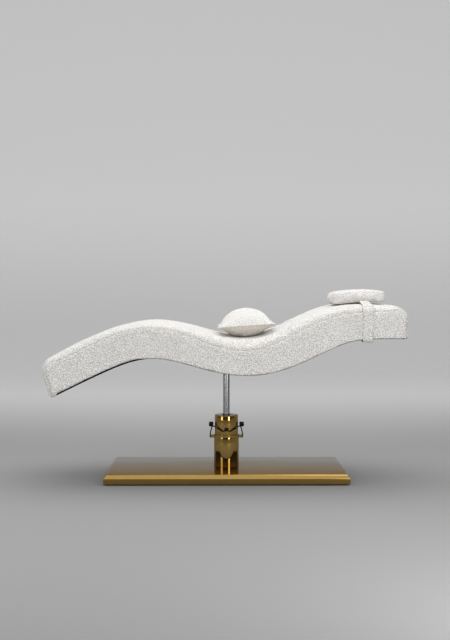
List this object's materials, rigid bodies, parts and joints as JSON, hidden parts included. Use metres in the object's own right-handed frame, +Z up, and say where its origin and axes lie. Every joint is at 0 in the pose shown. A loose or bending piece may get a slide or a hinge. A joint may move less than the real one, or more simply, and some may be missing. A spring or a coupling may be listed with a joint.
{
  "type": "massage lounger",
  "caption": "Wave-shaped boucle massage lounger on a swivelling lift column and weighted base plate, with a strapped face cushion and a loose scatter pillow.",
  "frame": {"origin": "on the floor, on the lift column's axis, which is the centre of the part's plan outline", "axes": "+X along the body towards the head end, +Y to the rear side, +Z up"},
  "size_m": [1.9004, 0.691, 1.028],
  "materials": {
    "white_boucle": "looped boucle, matt",
    "foam": "moulded foam and fibre fill, inside the covers",
    "polished_brass": "mirror polished, lacquered",
    "chrome_rod": "hard chrome, ground",
    "dark_spring_wire": "dark bronzed spring steel",
    "black_board": "moulded plywood, black painted",
    "frame_steel": "black powder coat",
    "ballast_steel": "rolled plate, oiled",
    "bright_steel": "zinc plated",
    "black_rubber": "matt",
    "bearing_polymer": "turned bearing polymer",
    "bearing_bronze": "turned bronze",
    "hook_tape": "hook and loop tape"
  },
  "bodies": {
    "pedestal": {"base_cladding": "polished_brass", "base_ballast": "ballast_steel", "base_rail_front": "frame_steel", "base_rail_rear": "frame_steel", "foot_pads": "black_rubber", "column_flange": "frame_steel", "column_bolts": "bright_steel", "column_tube": "frame_steel", "column_end_plug": "frame_steel", "guide_bush": "bearing_polymer", "sleeve_ring_lower": "bearing_polymer", "sleeve_ring_upper": "bearing_polymer", "lower_sleeve": "polished_brass", "seam_ring": "polished_brass", "upper_sleeve": "polished_brass", "sleeve_cap": "polished_brass", "rod_wiper": "black_rubber", "bail_bracket_left": "polished_brass", "bail_bracket_right": "polished_brass", "bail_pin_left": "bright_steel", "bail_pin_right": "bright_steel", "latch_lug": "dark_spring_wire"},
    "bail": {"bail_wire": "dark_spring_wire"},
    "lift": {"lift_rod": "chrome_rod", "piston": "bright_steel", "piston_seal": "black_rubber"},
    "lounger": {"swivel_housing": "frame_steel", "swivel_bush_lower": "bearing_polymer", "swivel_bush_upper": "bearing_polymer", "thrust_pad": "bearing_bronze", "housing_bolts": "bright_steel", "saddle_plate": "frame_steel", "spine_rail_front": "frame_steel", "spine_rail_rear": "frame_steel", "cross_member_foot": "frame_steel", "cross_member_knee": "frame_steel", "cross_member_back": "frame_steel", "cross_member_head": "frame_steel", "underside_board": "black_board", "board_screws": "bright_steel", "foam_core": "foam", "cover_top": "white_boucle", "cover_side_front": "white_boucle", "cover_side_rear": "white_boucle"},
    "head_strap": {"head_strap_front": "white_boucle", "head_strap_rear": "white_boucle", "strap_hook_patch": "hook_tape"},
    "face_cushion": {"face_cushion_foam": "foam", "face_cushion_cover_bottom": "white_boucle", "face_cushion_cover_border": "white_boucle", "face_cushion_cover_top": "white_boucle"},
    "pillow": {"pillow_fill": "foam", "pillow_cover_bottom": "white_boucle", "pillow_cover_top": "white_boucle"}
  },
  "joints": [
    {"name": "column_lift", "type": "slide", "parent": "pedestal", "child": "lift", "axis": [0, 0, 1], "range_m": [-0.16, 0.04]},
    {"name": "seat_swivel", "type": "hinge", "parent": "lift", "child": "lounger", "pos_m": [0, 0, 0.63], "axis": [0, 0, 1], "continuous": true},
    {"name": "bail_release", "type": "hinge", "parent": "pedestal", "child": "bail", "pos_m": [0, 0, 0.221], "axis": [1, 0, 0], "range_deg": [0, 45]},
    {"name": "strap_slide", "type": "slide", "parent": "lounger", "child": "head_strap", "axis": [1, 0, 0], "range_m": [-0.02, 0.02]},
    {"name": "face_cushion_lift", "type": "slide", "parent": "head_strap", "child": "face_cushion", "axis": [0, 0, 1], "range_m": [0, 0.15]},
    {"name": "pillow_lift", "type": "slide", "parent": "lounger", "child": "pillow", "axis": [0, 0, 1], "range_m": [0, 0.25]}
  ]
}
